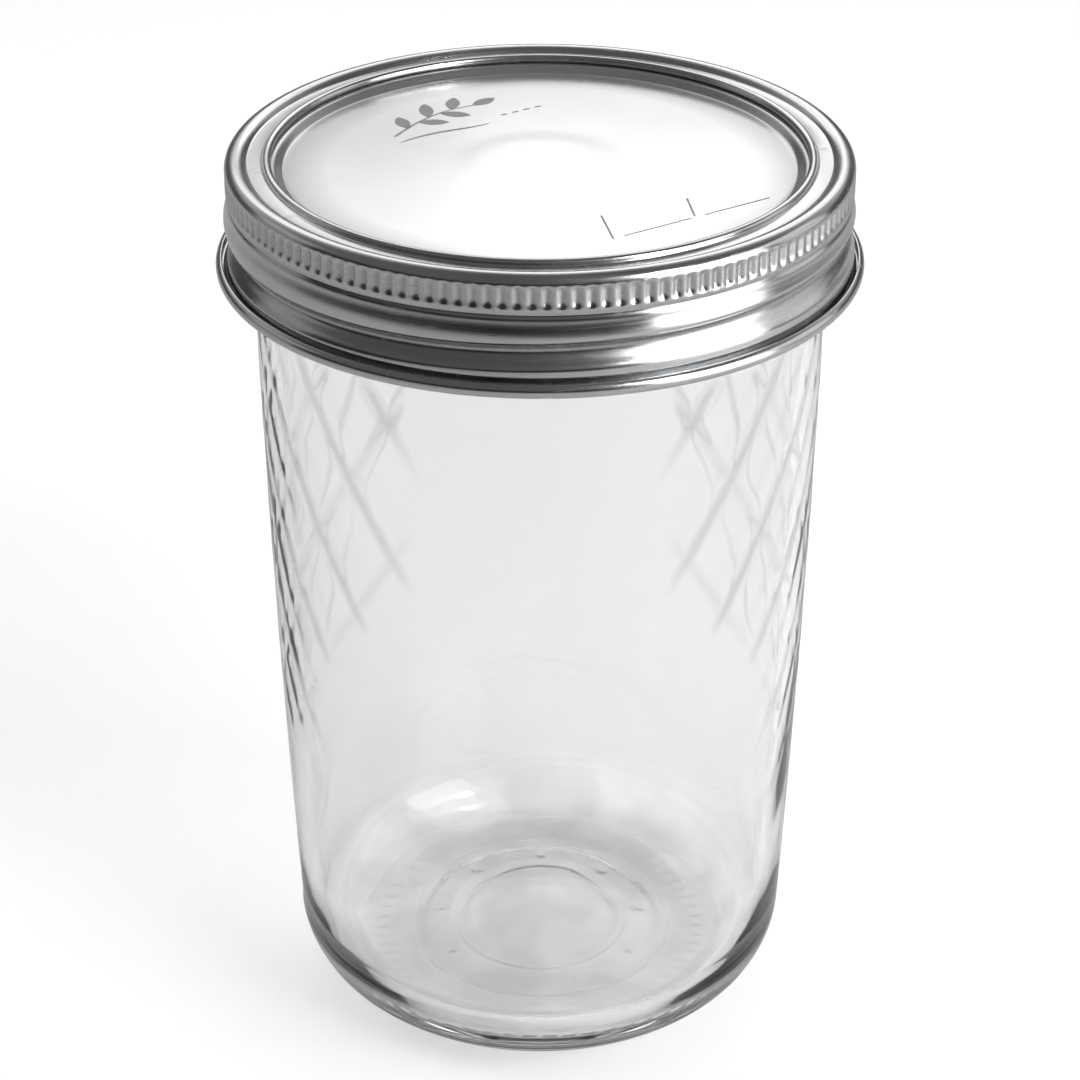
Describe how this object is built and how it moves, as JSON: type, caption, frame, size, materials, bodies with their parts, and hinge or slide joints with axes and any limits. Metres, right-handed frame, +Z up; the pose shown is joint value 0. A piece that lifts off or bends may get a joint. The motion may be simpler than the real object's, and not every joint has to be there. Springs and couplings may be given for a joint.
{
  "type": "mason jar",
  "caption": "Straight-sided glass canning jar with a wide threaded mouth, closed by a flat lid disc with a bonded sealing ring and a knurled screw band.",
  "frame": {"origin": "centre of the ring-shaped face that the jar stands on", "axes": "+Z up along the jar's centre line, -Y towards the front, +X to the right as seen from the front"},
  "size_m": [0.09, 0.09, 0.132],
  "materials": {
    "clear_glass": "clear, polished",
    "sealing_compound": "matt",
    "lacquered_tinplate": "lacquered, satin",
    "bright_tinplate": "bright"
  },
  "bodies": {
    "jar": {"glass_jar": "clear_glass"},
    "lid": {"lid_disc": "lacquered_tinplate", "sealing_ring": "sealing_compound"},
    "band": {"screw_band": "bright_tinplate"}
  },
  "joints": [
    {"name": "lid_rise", "type": "slide", "parent": "jar", "child": "lid", "axis": [0, 0, 1], "range_m": [0, 0.0382]},
    {"name": "band_turn", "type": "hinge", "parent": "lid", "child": "band", "pos_m": [0, 0, 0.12], "axis": [0, 0, 1], "range_deg": [0, 2160]}
  ],
  "couplings": [
    {"joint": "lid_rise", "follows": "band_turn", "m_per_rad": 0.0010106}
  ]
}
